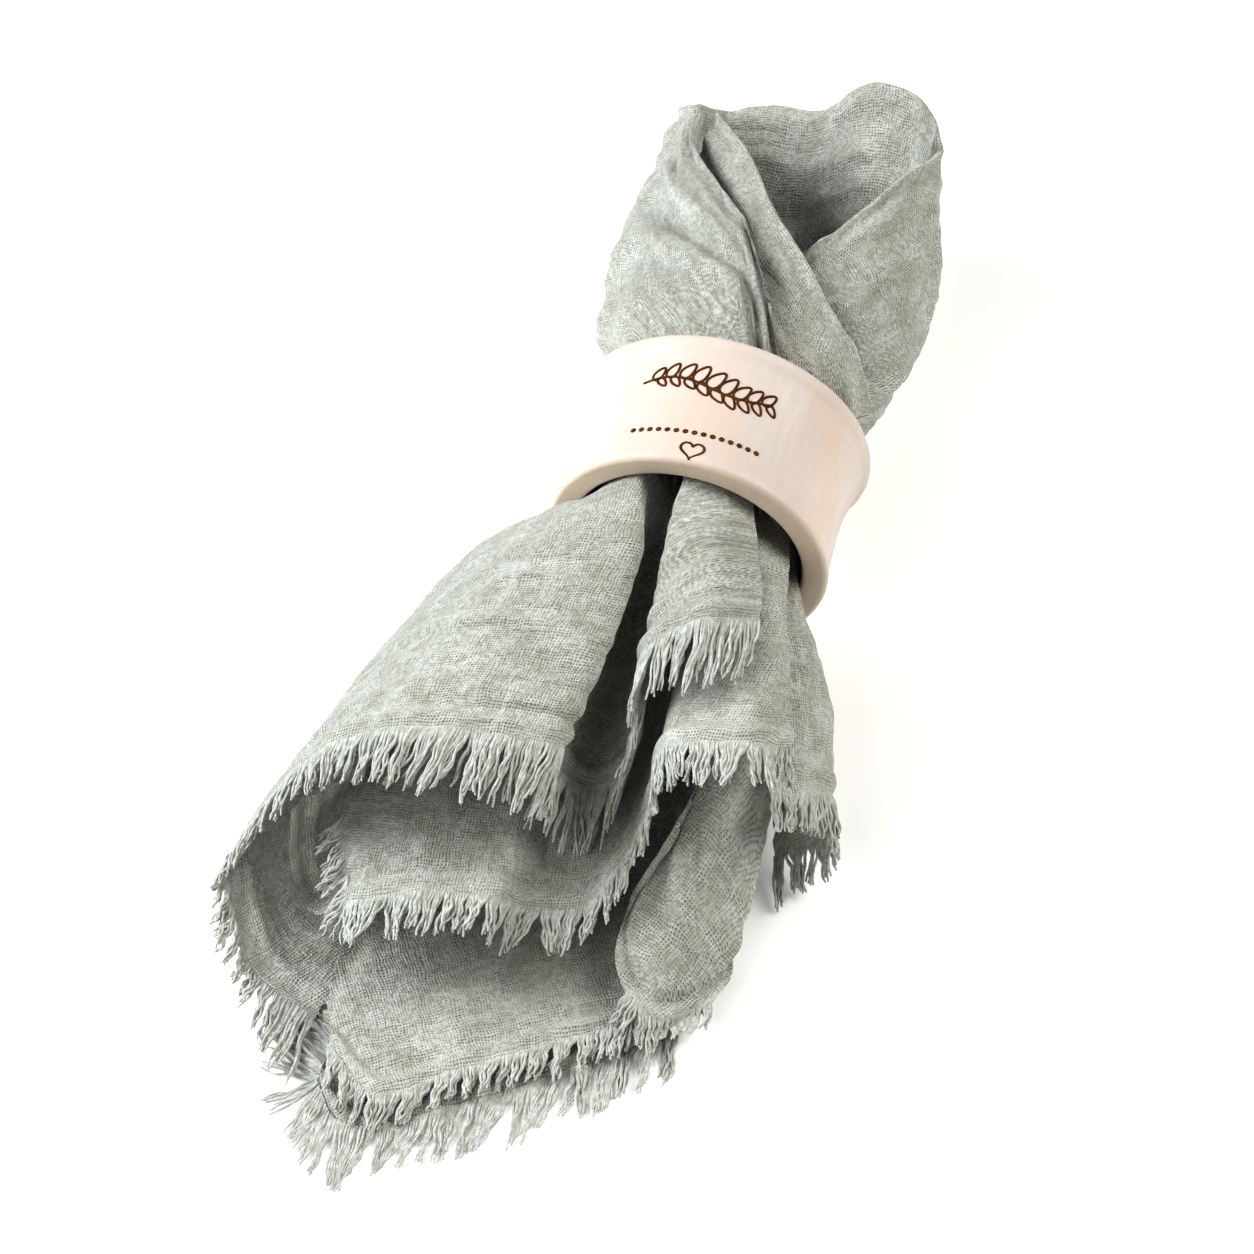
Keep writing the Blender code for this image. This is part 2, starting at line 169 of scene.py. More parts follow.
def muslin():
    nodes = Nodes("sage muslin")
    flat = nodes.add("ShaderNodeUVMap", {"uv_map": "cloth"}).outputs["UV"]
    wander = nodes.add("ShaderNodeTexNoise", Vector=flat, Scale=26.0, Detail=2.0).outputs["Color"]
    centred = nodes.add("ShaderNodeVectorMath", {"operation": "SUBTRACT"})
    nodes.feed(centred, "0", wander)
    centred.inputs[1].default_value = (0.5, 0.5, 0.5)
    scaled = nodes.add("ShaderNodeVectorMath", {"operation": "SCALE"})
    nodes.feed(scaled, "0", centred.outputs[0])
    scaled.inputs["Scale"].default_value = 0.016
    moved = nodes.add("ShaderNodeVectorMath", {"operation": "ADD"})
    nodes.feed(moved, "0", flat)
    nodes.feed(moved, "1", scaled.outputs[0])
    split = nodes.add("ShaderNodeSeparateXYZ", Vector=moved.outputs[0])
    across, along = split.outputs[0], split.outputs[1]
    warp = nodes.math("ABSOLUTE", nodes.math("SINE", nodes.math("MULTIPLY", across, math.pi / YARN_PITCH)))
    weft = nodes.math("ABSOLUTE", nodes.math("SINE", nodes.math("MULTIPLY", along, math.pi / YARN_PITCH)))
    # Gaps between the yarns: they are painted dark below, as painted shade seen through the weave.
    hole_shade = nodes.math("MULTIPLY", nodes.math("SUBTRACT", 1.0, warp), nodes.math("SUBTRACT", 1.0, weft))
    hole_shade = nodes.ramp(hole_shade, 0.06, 0.42)
    openness = nodes.ramp(nodes.noise(flat, 22.0, 3.0, 0.65), 0.34, 0.62, 0.25, 1.0)
    hole_shade = nodes.math("MULTIPLY", hole_shade, openness)

    creases = nodes.noise(nodes.stretched(moved.outputs[0], (4.5, 26.0, 1.0)), 1.0, 1.5, 0.45)
    ridges = nodes.math("ABSOLUTE", nodes.math("MULTIPLY_ADD", creases, 2.0, -1.0))
    ridges = nodes.ramp(ridges, 0.0, 0.30, 1.0, 0.0)
    pucker = nodes.noise(flat, 48.0, 1.5, 0.5)
    run_across = nodes.stretched(moved.outputs[0], (8.0, 52.0, 1.0))
    slub_across = nodes.ramp(nodes.noise(run_across, 1.0, 1.0), 0.54, 0.72)
    run_along = nodes.stretched(moved.outputs[0], (52.0, 8.0, 1.0), (3, 1, 0))
    slub_along = nodes.ramp(nodes.noise(run_along, 1.0, 1.0), 0.54, 0.72)
    slubs = nodes.math("MAXIMUM", slub_across, slub_along)
    crepe = nodes.noise(nodes.add("ShaderNodeTexCoord").outputs["Object"], 1300.0, 2.0, 0.6)
    mottle = nodes.noise(flat, 16.0, 4.0, 0.6)

    hem = nodes.add("ShaderNodeAttribute", {"attribute_name": "hem_distance"}).outputs["Fac"]
    band = nodes.ramp(hem, 2.2, 4.2, 1.0, 0.0)
    stretched_out = nodes.ramp(hem, 150.0, 250.0, 1.0, 0.15)
    slubs = nodes.math("MULTIPLY", slubs, stretched_out)
    ridges = nodes.math("MULTIPLY", ridges, stretched_out)

    colour = nodes.blend(nodes.ramp(mottle, 0.35, 0.65), (0.545, 0.555, 0.505), (0.665, 0.68, 0.65))
    # Painted shade: the low points of the crepe relief are darkened as if shade fell in them.
    dimple_shade = nodes.math("MULTIPLY", nodes.ramp(crepe, 0.60, 0.36), 0.5)
    colour = nodes.blend(dimple_shade, colour, (0.33, 0.325, 0.265))
    colour = nodes.blend(nodes.math("MULTIPLY", slubs, 0.36), colour, (0.75, 0.76, 0.715))
    colour = nodes.blend(nodes.math("MULTIPLY", band, 0.25), colour, (0.70, 0.71, 0.66))
    # Painted shade: the gaps between the yarns take a dark colour for the shade seen through them.
    colour = nodes.blend(nodes.math("MULTIPLY", hole_shade, 0.8), colour, (0.14, 0.13, 0.09))
    nodes.feed(nodes.shader, "Base Color", colour)

    yarns = nodes.math("ADD", warp, weft)
    fibres = nodes.math("MULTIPLY_ADD", yarns, 0.5, nodes.math("MULTIPLY", slubs, 0.6))
    crinkled = nodes.math("MULTIPLY_ADD", pucker, 0.9, nodes.math("MULTIPLY", ridges, 0.5))
    relief = nodes.raised(crinkled, 0.00030)
    relief = nodes.raised(crepe, 0.00030, 1.0, relief)
    relief = nodes.raised(fibres, 0.00014, 1.0, relief)
    nodes.feed(nodes.shader, "Normal", relief)
    nodes.shader.inputs["Roughness"].default_value = 0.95
    nodes.shader.inputs["Specular IOR Level"].default_value = 0.2
    nodes.shader.inputs["Sheen Weight"].default_value = 0.25
    nodes.shader.inputs["Sheen Roughness"].default_value = 0.6

    through = nodes.add("ShaderNodeBsdfTranslucent", Color=colour, Normal=relief)
    share = nodes.add("ShaderNodeMixShader", Fac=0.10)
    nodes.tree.links.new(nodes.shader.outputs[0], share.inputs[1])
    nodes.tree.links.new(through.outputs[0], share.inputs[2])
    output = nodes.tree.nodes["Material Output"]
    nodes.tree.links.new(share.outputs[0], output.inputs["Surface"])
    return nodes.material


muslin_finish = muslin()
print("muslin nodes:", len(muslin_finish.node_tree.nodes))

# %% [markdown]
# ## The fold tables
# A drawn-up napkin is a fan: its folds run from the ring's mouth over a knee to the hem.  Each row is
# one such fold line, and a smooth sheet is stretched over the rows of a table.  The heights are from
# the ring's axis.  Columns: name, mouth x, mouth z, knee x, y, z, hem x, y, z.

# %% Fold lines of the tail
TOP_PLY = [
    ("strip fold",     10.5,  13.5,  15.5, -26.0,  14.0,  17.5, -36.0,  15.6),
    ("strip crest",     5.5,  16.5,   8.0, -26.0,  18.5,   9.0, -40.5,  18.0),
    ("strip left",     -0.5,  17.0,   0.0, -26.0,  16.5,   0.3, -45.5,  12.4),
    ("strip roll",     -1.2,  13.5,   0.2, -28.5,  11.5,   2.4, -50.0,   7.0),
    ("valley right",   -1.5,  10.0,  -0.6, -31.0,   5.6,   2.2, -56.5,   0.8),
    ("valley floor",   -3.2,   6.6,  -3.6, -33.0,  -0.4,  -4.0, -59.4,  -6.2),
    ("valley left",    -5.2,  11.2,  -6.4, -32.0,   6.6, -10.2, -61.8,   2.2),
    ("lobe right",     -7.0,  16.0,  -4.4, -31.5,  16.2,  -8.0, -65.6,  12.4),
    ("lobe crest",    -11.5,  13.8, -19.0, -32.0,  17.8, -28.0, -68.5,  14.0),
    ("lobe shoulder", -15.5,   9.0, -29.5, -30.0,  11.5, -43.5, -71.5,   8.0),
    ("lobe side",     -17.7,   2.0, -36.5, -29.5,   1.0, -55.0, -80.0,  -5.0),
    ("lobe under",    -16.8,  -5.5, -36.0, -31.0, -10.5, -56.5, -87.0, -13.5),
    ("lobe foot",     -14.0, -10.5, -31.5, -34.0, -18.5, -50.0, -98.0, -19.5),
    ("lobe toe",      -12.5, -12.5, -29.0, -38.0, -21.2, -38.5, -102.5, -22.7),
]
SECOND_PLY = [
    ("under fold",     16.4,   4.3,  21.0, -30.0,   7.2,  27.5, -53.5,   7.5),
    ("under crest",    11.0,   8.5,  17.0, -30.0,  11.5,  20.5, -58.0,  12.5),
    ("under left",      5.0,  10.0,   8.0, -33.0,  10.0,   8.0, -59.5,   9.0),
    ("curl top",        4.2,   7.0,   5.2, -38.0,   4.0,   7.2, -63.0,   2.0),
    ("curl low",        3.2,   3.0,   3.8, -42.0,  -3.0,   4.9, -70.0,  -5.6),
    ("inner right",    -1.0,  -1.5,  -1.5, -44.0,  -8.5,  -0.5, -77.5, -12.8),
    ("inner drop",     -3.5,  -3.5,   -8.0, -46.0,  -9.5,   -9.8, -80.5, -12.4),
    ("inner middle",   -6.0,  -2.0, -12.0, -47.0,  -5.5, -13.5, -83.0,  -6.8),
    ("inner crest",    -9.0,  -2.0, -24.0, -52.0,  -4.0, -25.0, -86.0,  -6.0),
    ("inner left",    -12.0,  -3.0, -33.0, -60.0,  -4.0, -33.5, -88.5,  -8.0),
    ("inner edge",    -13.5,  -3.5, -40.0, -68.0,  -4.0, -36.5, -88.5, -10.0),
]
RIGHT_PLY = [
    ("side inner",     14.4,  -0.4,  19.4, -30.0,   2.0,  24.8, -57.0,   1.5),
    ("side top",       17.9,  -2.0,  26.0, -29.0,  -3.0,  30.0, -53.0,  -4.0),
    ("side",           17.2,  -6.5,  28.0, -28.0, -10.5,  34.0, -48.5, -12.0),
    ("side under",     15.5, -10.0,  25.0, -28.0, -17.5,  31.5, -50.0, -19.0),
    ("side foot",      12.5, -12.8,  18.5, -30.0, -21.5,  25.5, -54.0, -22.6),
]
THIRD_PLY = [
    ("roll edge",       7.0,   4.0,  14.0, -45.0,   4.2,  12.4, -66.5,  -3.2),
    ("roll left",       9.0,   3.0,  16.5, -47.0,   5.2,   5.6, -80.0, -15.6),
    ("roll middle",    11.0,   0.5,  19.0, -49.0,   3.5,  12.5, -90.5, -19.5),
    ("roll right",     13.0,  -3.0,   23.0, -51.0,  -2.5,   19.5, -87.0, -21.0),
    ("roll side",      13.5,  -7.0,   24.0, -50.0, -11.0,   24.5, -79.0, -20.0),
    ("roll foot",      11.0, -10.0,   18.0, -48.0, -19.0,   20.0, -72.0, -21.8),
]
FOURTH_PLY = [
    ("floor right",     6.0, -11.0,   10.0, -50.0, -21.5,   12.5, -89.5, -22.4),
    ("floor middle",    0.0, -12.0,   -4.0, -52.0, -22.0,   -2.0, -99.0, -22.2),
    ("floor left",     -5.0, -11.0,  -16.0, -54.0, -22.0,  -14.0, -107.0, -22.2),
    ("floor corner",   -8.0,  -9.5,  -25.0, -56.0, -21.5,  -25.0, -114.5, -22.4),
    ("floor edge",    -10.0,  -8.0, -38.0, -80.0, -20.8, -34.5, -107.5, -22.1),
]
BOTTOM_PLY = [
    ("bottom right",    8.0, -15.5,   15.0, -44.0, -24.2,   18.0, -88.0, -24.2),
    ("bottom middle",   2.0, -16.8,    3.0, -44.0, -24.2,    3.0, -101.0, -24.2),
    ("bottom left",    -4.0, -16.5,  -10.0, -44.0, -24.2,  -12.5, -112.0, -24.2),
    ("bottom corner",  -8.0, -15.0,  -21.0, -46.0, -24.2,  -28.0, -120.0, -24.2),
    ("bottom edge",   -10.5, -13.8,  -29.0, -48.0, -24.2,  -36.0, -112.5, -24.2),
]
INNER_LOOP = [
    ("loop top",      -12.0,  -1.0, -36.0, -62.0,   1.0, -47.5, -80.0,   1.0),
    ("loop side",     -12.5,  -3.0, -38.0, -63.0,  -4.0, -47.5, -82.5,  -6.0),
    ("loop low",      -12.5,  -5.0, -37.5, -64.0,  -9.0, -45.5, -85.5, -13.5),
    ("loop turn",     -12.0,  -6.0, -35.5, -64.0, -11.0, -42.5, -86.5, -16.5),
    ("loop back",     -11.0,  -6.0, -33.0, -64.0,  -9.5, -40.0, -86.0, -15.0),
]

# %% [markdown]
# The head is folded cloth too, but its lines end on the fold at the rim, where the outer ply turns
# over and goes back down inside the pocket.  Columns: name, mouth x, mouth z, knee x, y, z, rim x, y, z.

# %% Fold lines of the head
HEAD_WRAP = [
    ("flap front",      8.5,  15.0,   8.6,  17.2,  16.6,   8.4,  20.2,  17.6),
    ("flap lower",      2.5,  17.0,   1.5,  26.0,  19.6,  -1.0,  38.0,  19.0),
    ("flap middle",    -4.0,  16.6,  -7.0,  30.0,  18.8, -10.0,  49.5,  16.5),
    ("flap upper",    -10.3,  13.7, -16.0,  34.0,  15.0, -18.0,  62.0,  12.0),
    ("peak",          -14.8,   8.6, -22.5,  37.0,   8.5, -20.0,  76.0,   7.5),
    ("left",          -17.1,   1.2, -26.0,  39.0,   0.0, -23.5,  79.0,   2.0),
    ("left low",      -15.9,  -6.3, -24.0,  41.0, -10.5, -18.5,  83.0,  -4.0),
    ("belly left",    -10.5, -13.4, -15.5,  42.0, -19.6, -10.0,  86.0,  -4.0),
    ("belly",          -1.0, -17.1,  -2.0,  43.0, -22.8,  -1.0,  85.5,  -1.5),
    ("belly right",     8.7, -14.6,  12.0,  43.0, -20.5,   7.0,  87.0,   6.0),
    ("right low",      14.8,  -8.5,  22.0,  42.0, -12.0,  16.0,  85.5,   6.0),
    ("right",          16.8,  -1.5,  25.5,  42.0,  -1.0,  21.5,  77.0,   4.5),
    ("right top",      12.6,   4.6,  22.7,  39.0,   6.5,  18.0,  65.0,  10.5),
    ("inner flap",      7.6,   7.8,  15.6,  33.0,  10.2,  13.5,  54.0,  13.0),
    ("inner point",     2.0,   9.4,   7.0,  29.0,  11.5,   5.5,  42.5,  12.3),
    ("tuck",           -4.0,   8.4,  -2.0,  27.0,  10.0,  -3.5,  36.0,  10.8),
]
LAPEL = [
    ("lapel end",      16.3,   5.2,  20.8,  17.0,   5.4,  22.4,  20.8,   4.4),
    ("lapel lower",    13.0,   9.6,  16.6,  20.0,  11.3,  17.8,  26.5,  10.6),
    ("lapel third",     8.0,  11.9,  10.5,  23.0,  14.4,  12.3,  31.0,  14.0),
    ("lapel middle",    2.6,  13.3,   3.6,  28.0,  15.6,   6.5,  38.5,  15.8),
    ("lapel upper",    -3.5,  13.1,  -5.0,  32.0,  15.0,  -1.0,  48.0,  15.5),
    ("lapel high",     -8.3,  10.2, -13.0,  36.0,  11.3,  -8.0,  60.5,  12.8),
    ("lapel peak",    -11.4,   6.2, -18.5,  40.0,   5.5, -16.0,  72.0,   8.0),
]

# %% [markdown]
# ## From fold lines to a sheet
# A Catmull-Rom curve passes through every given point, so it is used twice: down each fold line, and
# then across all of them.  The sheet is sampled finely and evenly, because even cells crinkle evenly.
# For each point the distance along the cloth to the hem and to the middle line is kept as its UV.

# %% Sheets over fold lines
ROOT_SHRINK = 0.86
MOUTH_SPREAD = 1.05
ROOT_Y = 3.0
MOUTH_Y = 13.0


def along_curve(points, at):
    """Places at shares 0..1 along Catmull-Rom curves through points[0], points[1] and so on."""
    last = len(points) - 1
    place = np.clip(at, 0, 1) * last
    k = np.minimum(place.astype(int), last - 1)
    t = (place - k).reshape(-1, *[1] * (points.ndim - 1))
    longer = np.concatenate([points[:1] * 2 - points[1:2], points, points[-1:] * 2 - points[-2:-1]])
    p0, p1, p2, p3 = (longer[k + step] for step in range(4))
    bend = (p0 * 2 - p1 * 5 + p2 * 4 - p3) * t**2
    twist = (p1 * 3 - p0 - p2 * 3 + p3) * t**3
    return 0.5 * (p1 * 2 + (p2 - p0) * t + bend + twist)


def fold_points(table, mouth_y):
    """The four points of each fold line, as an array: line, point, xyz."""
    root_y = math.copysign(ROOT_Y, mouth_y)
    return np.array([
        [
            (row[1] * ROOT_SHRINK, root_y, row[2] * ROOT_SHRINK),
            (row[1] * MOUTH_SPREAD, mouth_y, row[2] * MOUTH_SPREAD),
            row[3:6],
            row[6:9],
        ]
        for row in table
    ], float)


def sheet_at(lines, across, along):
    """Points of the sheet at the shares across and along: along, across, xyz."""
    stations = along_curve(np.swapaxes(lines, 0, 1), along)
    return np.swapaxes(along_curve(np.swapaxes(stations, 0, 1), across), 0, 1)


def even_shares(lines, cell, which):
    """Shares spaced so that the cells come out about this size in mm, across or along."""
    fine = np.linspace(0, 1, 240)
    sheet = sheet_at(lines, fine, fine)
    axis = 1 if which == "across" else 0
    steps = np.linalg.norm(np.diff(sheet, axis=axis), axis=2)
    worst = np.quantile(steps, 0.8, axis=1 - axis)
    run = np.concatenate([[0], np.cumsum(worst)])
    count = max(int(round(run[-1] / cell)), 4)
    return np.interp(np.linspace(0, run[-1], count + 1), run, fine)


def facing(sheet):
    """Unit normals of a grid of points."""
    across = np.gradient(sheet, axis=1)
    along = np.gradient(sheet, axis=0)
    normals = np.cross(across, along)
    return normals / np.maximum(np.linalg.norm(normals, axis=2, keepdims=True), 1e-9)


def flat_places(sheet):
    """Each point's place on the flat cloth in mm: across from the middle line, and up from the hem."""
    across = np.linalg.norm(np.diff(sheet, axis=1), axis=2)
    across = np.concatenate([np.zeros((len(sheet), 1)), np.cumsum(across, axis=1)], axis=1)
    across -= across[:, [sheet.shape[1] // 2]]
    up = np.linalg.norm(np.diff(sheet, axis=0), axis=2)[::-1]
    up = np.concatenate([np.zeros((1, sheet.shape[1])), np.cumsum(up, axis=0)])[::-1]
    return across, up


# %% [markdown]
# ## Crinkles
# Washed muslin shrinks unevenly, so soft ridges run across its length and a softer ripple runs down
# it.  Layers of smooth noise, stretched along the yarns, give them in the cloth's own flat measures.
# Main creases are listed one by one: each is a soft ridge (or trough, when its height is below zero)
# between two places on the sheet, given as shares across and along.


# %% Crinkles and creases
def crinkle(across, up, seed, puckered):
    """Height in mm of the crinkled cloth at places given in mm on the flat cloth."""
    heights = np.zeros(across.size)
    for n, (u, v) in enumerate(zip(across.ravel(), up.ravel())):
        bent = v + 3.0 * noise.noise(Vector((u / 22, v / 30, seed + 5)))
        ridge = 1 - abs(noise.noise(Vector((u / 17, bent / 5.2, seed)))) * 3.2
        second = noise.noise(Vector((u / 9, bent / 3.1, seed + 11)))
        down = noise.noise(Vector((u / 5.0, v / 26, seed + 23)))
        pucker = noise.noise(Vector((u / 3.4, v / 3.0, seed + 31)))
        soft = noise.noise(Vector((u / 26, v / 19, seed + 41)))
        sharp = max(ridge, -0.6) * (1 - puckered * 0.6) * 0.26
        heights[n] = sharp + second * 0.3 + down * 0.3 + soft * 0.8 + pucker * 0.5 * puckered
    return heights.reshape(across.shape)


def crease_heights(across, along, places, creases):
    """Sum of the listed creases at every point of a sheet."""
    across_mm, up_mm = places
    total = np.zeros(across_mm.shape)
    for (s0, t0), (s1, t1), width, height in creases:
        ends = []
        for s, t in ((s0, t0), (s1, t1)):
            i = int(round(np.interp(s, across, np.arange(len(across)))))
            j = int(round(np.interp(t, along, np.arange(len(along)))))
            ends.append(np.array([across_mm[j, i], up_mm[j, i]]))
        line = ends[1] - ends[0]
        reach = max(float(line @ line), 1e-6)
        share = ((across_mm - ends[0][0]) * line[0] + (up_mm - ends[0][1]) * line[1]) / reach
        held = np.clip(share, 0, 1)
        off = np.hypot(across_mm - ends[0][0] - held * line[0], up_mm - ends[0][1] - held * line[1])
        total += height * np.exp(-((off / width) ** 2)) * (0.45 + 0.55 * np.sin(np.pi * (0.12 + 0.76 * held)))
    return total


# %% [markdown]
# ## One napkin
# All the plies belong to one cloth, so they are made in one bmesh.  Each begins as a flat grid, made
# by an operator, and its points are then moved onto the folded sheet.

# %% Lay a grid on a sheet
FLAT_UNIT = 100.0
cloth = bmesh.new()
cloth_uv = cloth.loops.layers.uv.new("cloth")
cloth_hem = cloth.verts.layers.float.new("hem_distance")
FLOOR = -AXIS_HEIGHT + 0.25


def lay(points, places, hem_distance, shelf):
    """Add one grid to the cloth, its points on the sheet and its UVs on the flat cloth."""
    rows, columns = points.shape[:2]
    made = bmesh.ops.create_grid(cloth, x_segments=columns - 1, y_segments=rows - 1, size=1.0)
    cloth.verts.index_update()
    verts = sorted(made["verts"], key=lambda v: v.index)
    where = placed(points).reshape(-1, 3)
    u, v = (np.ravel(p) / FLAT_UNIT for p in places)
    far = np.ravel(hem_distance)
    for n, vert in enumerate(verts):
        vert.co = where[n]
        vert[cloth_hem] = far[n]
        for loop in vert.link_loops:
            loop[cloth_uv].uv = (u[n] + shelf * 3.0, v[n])
    return verts


class Hem:
    """An edge of the finished cloth: its points, the way out of the cloth, and its upper side."""

    def __init__(self, points, outwards, normals):
        self.points, self.outwards, self.normals = points, outwards, normals


def welt(distance, middle, width):
    """A soft band across the cloth, one high, at a distance in mm from its edge."""
    return np.exp(-(((distance - middle) / width) ** 2))


def lay_ply(
    name, table, cell, height=1.0, puckered=0.35, creases=(), hemmed=True, seed=0.0, wave=0.6, turned=None
):
    """One ply of the tail, crinkled, with its hems returned for the fringes."""
    lines = fold_points(table, -MOUTH_Y)
    across, along = even_shares(lines, cell, "across"), even_shares(lines, cell, "along")
    sheet = sheet_at(lines, across, along)
    normals = facing(sheet)
    places = flat_places(sheet)
    lift = crinkle(*places, seed, puckered) * height
    lift += crease_heights(across, along, places, creases)
    lift += hemmed * (0.75 * welt(places[1], 3.2, 1.2) - 0.45 * welt(places[1], 5.6, 1.0))
    ripple = np.array([
        noise.noise(Vector((u / 13, seed, 3.0))) + 0.6 * noise.noise(Vector((u / 5, seed, 9.0)))
        for u in places[0][-1]
    ])
    lift += wave * ripple * np.exp(-places[1] / 9)
    calm = np.clip((-MOUTH_Y + 3 - sheet[:, :, 1]) / 9, 0.15, 1)
    sheet = sheet + normals * (lift * calm)[:, :, None]
    sheet[:, :, 2] = np.maximum(sheet[:, :, 2], FLOOR)
    hem_distance = places[1] if hemmed else places[1] + 50
    if turned is not None:
        turn = math.radians(turned)
        x, y = sheet[:, :, 0], sheet[:, :, 1]
        places = (x * math.cos(turn) + y * math.sin(turn), y * math.cos(turn) - x * math.sin(turn))
    lay(sheet, places, hem_distance, seed)
    normals = facing(sheet)
    out_hem = sheet[-1] - sheet[-3]
    out_far = sheet[:, -1] - sheet[:, -3]
    out_near = sheet[:, 0] - sheet[:, 2]
    print(f"{name}: {sheet.shape[1]} x {sheet.shape[0]} points")
    return {
        "hem": Hem(sheet[-1], out_hem, normals[-1]),
        "far side": Hem(sheet[::-1, -1], out_far[::-1], normals[::-1, -1]),
        "near side": Hem(sheet[::-1, 0], out_near[::-1], normals[::-1, 0]),
    }


# %% [markdown]
# ### The tail
# The big lobe has ridges that follow its hem; the strips beside the valley are flatter.

# %% Lay the six plies of the tail
TOP_CREASES = [
    ((0.50, 0.93), (0.80, 0.93), 1.6, 0.55),
    ((0.50, 0.80), (0.72, 0.83), 1.5, 0.5),
    ((0.56, 0.70), (0.84, 0.74), 1.8, -0.5),
    ((0.54, 0.60), (0.78, 0.62), 1.7, 0.6),
    ((0.60, 0.50), (0.80, 0.52), 1.8, 0.4),
    ((0.62, 0.44), (0.66, 0.98), 2.0, 0.35),
    ((0.02, 0.85), (0.16, 0.85), 1.4, 0.4),
]
THIRD_CREASES = [
    ((0.12, 0.58), (0.55, 0.68), 1.6, 1.0),
    ((0.14, 0.66), (0.60, 0.77), 1.5, -0.9),
    ((0.14, 0.74), (0.62, 0.85), 1.6, 1.1),
    ((0.16, 0.82), (0.62, 0.92), 1.5, -0.9),
    ((0.45, 0.46), (0.72, 0.58), 1.6, 0.8),
    ((0.62, 0.60), (0.80, 0.80), 1.8, 0.8),
]
top = lay_ply("top ply", TOP_PLY, 0.85, creases=TOP_CREASES, seed=1.0)
second = lay_ply("second ply", SECOND_PLY, 0.85, seed=2.0)
right = lay_ply("right ply", RIGHT_PLY, 0.9, seed=3.0)
third = lay_ply("third ply", THIRD_PLY, 0.85, creases=THIRD_CREASES, seed=4.0, puckered=0.6, turned=-25)
fourth = lay_ply("fourth ply", FOURTH_PLY, 0.95, seed=5.0, height=0.8, turned=30)
bottom = lay_ply("bottom ply", BOTTOM_PLY, 1.2, seed=6.0, height=0.3, wave=0.2, turned=30)
loop = lay_ply("inner loop", INNER_LOOP, 1.2, seed=7.0, height=0.6)

# %% [markdown]
# ### The head
# Here the cloth is folded, so each sheet goes out to the rim, round it, and back on the inside.  The
# napkin was folded twice, so a second folded pair lies inside the first.


# %% Lay folded pairs
# The head lies this far from any hem, mm.
HEAD_DISTANCE = 400.0
# Shares across the wrap, and the share of its length that the cloth has there: the flap's corner goes
# down into the ring, and the peak is eased.
TUCK = ((0.0, 0.03, 0.09, 0.22, 0.27, 0.31, 0.36), (0.2, 0.45, 1.0, 1.0, 0.96, 0.96, 1.0))


def pulled_back(middle, across, tuck):
    """The sheet with its rim drawn down its own fold lines, to the shares in the table."""
    steps = np.arange(len(middle))
    for column, share in enumerate(np.interp(across, *tuck)):
        for axis in range(3):
            middle[:, column, axis] = np.interp(steps * share, steps, middle[:, column, axis])
    return middle


def lay_folded(
    name, table, cell, apart, creases=(), seed=0.0, height=1.0, puckered=0.9, short=0.0, tuck=None
):
    """Two plies a little apart, joined by a round turn at the rim."""
    lines = fold_points(table, MOUTH_Y)
    across, along = even_shares(lines, cell, "across"), even_shares(lines, cell, "along")
    along = along * (1 - short)
    middle = sheet_at(lines, across, along)
    if tuck:
        middle = pulled_back(middle, across, tuck)
    places = flat_places(middle)
    normals = facing(middle)
    lift = crinkle(*places, seed, puckered) * height
    lift += crease_heights(across, along, places, creases)
    lift += 0.5 * welt(places[1], 1.6, 1.7) - 0.5 * welt(places[1], 5.4, 1.7)
    calm = np.clip((middle[:, :, 1] - MOUTH_Y + 4) / 9, 0.15, 1)
    middle = middle + normals * (lift * calm)[:, :, None]
    outward = np.gradient(middle, axis=0)[-1]
    outward /= np.linalg.norm(outward, axis=1, keepdims=True)
    turns = [
        middle[-1] + apart * (normals[-1] * math.sin(a) + outward * math.cos(a))
        for a in np.radians((54, 18, -18, -54))
    ]
    sheet = np.concatenate([middle + normals * apart, turns, (middle - normals * apart)[::-1]])
    sheet[:, :, 2] = np.maximum(sheet[:, :, 2], FLOOR)
    u, v = places
    rim = [np.full(len(across), -0.4 * apart * k) for k in (1, 2, 3, 4)]
    flat_u = np.concatenate([u, *[u[-1:]] * 4, u[::-1]])
    flat_v = np.concatenate([v, rim, -v[::-1] - 2 * apart])
    lay(sheet, (flat_u, flat_v), np.full(sheet.shape[:2], HEAD_DISTANCE), seed)
    print(f"{name}: {sheet.shape[1]} x {sheet.shape[0]} points")


WRAP_CREASES = [
    ((0.03, 0.46), (0.34, 0.44), 2.2, 1.5),
    ((0.03, 0.52), (0.34, 0.54), 2.2, -1.4),
    ((0.03, 0.58), (0.32, 0.62), 2.4, 1.8),
    ((0.04, 0.66), (0.30, 0.71), 2.2, -1.4),
    ((0.05, 0.72), (0.27, 0.80), 2.4, 1.7),
    ((0.09, 0.80), (0.26, 0.88), 2.2, -1.2),
    ((0.42, 0.94), (0.60, 0.93), 1.6, 0.9),
    ((0.42, 0.88), (0.60, 0.88), 1.6, -0.9),
    ((0.42, 0.82), (0.60, 0.82), 1.6, 0.9),
    ((0.42, 0.76), (0.60, 0.76), 1.6, -0.9),
    ((0.70, 0.55), (0.72, 0.98), 2.0, 1.3),
    ((0.745, 0.50), (0.76, 0.96), 1.8, -1.2),
    ((0.80, 0.45), (0.90, 0.90), 2.2, 0.9),
    ((0.86, 0.42), (0.95, 0.80), 2.0, -0.9),
]
LAPEL_CREASES = [
    ((0.30, 0.80), (0.75, 0.80), 1.6, 1.0),
    ((0.28, 0.55), (0.70, 0.60), 1.8, -1.0),
]
lay_folded("head wrap", HEAD_WRAP, 1.0, 1.0, creases=WRAP_CREASES, seed=11.0, tuck=TUCK)
lay_folded("lapel", LAPEL, 0.9, 1.0, creases=LAPEL_CREASES, seed=12.0)
lay_folded("inner wrap", HEAD_WRAP, 2.4, 0.3, creases=WRAP_CREASES, seed=11.0, short=0.02, tuck=TUCK)
lay_folded("inner lapel", LAPEL, 2.4, 0.3, seed=12.0, short=0.02)


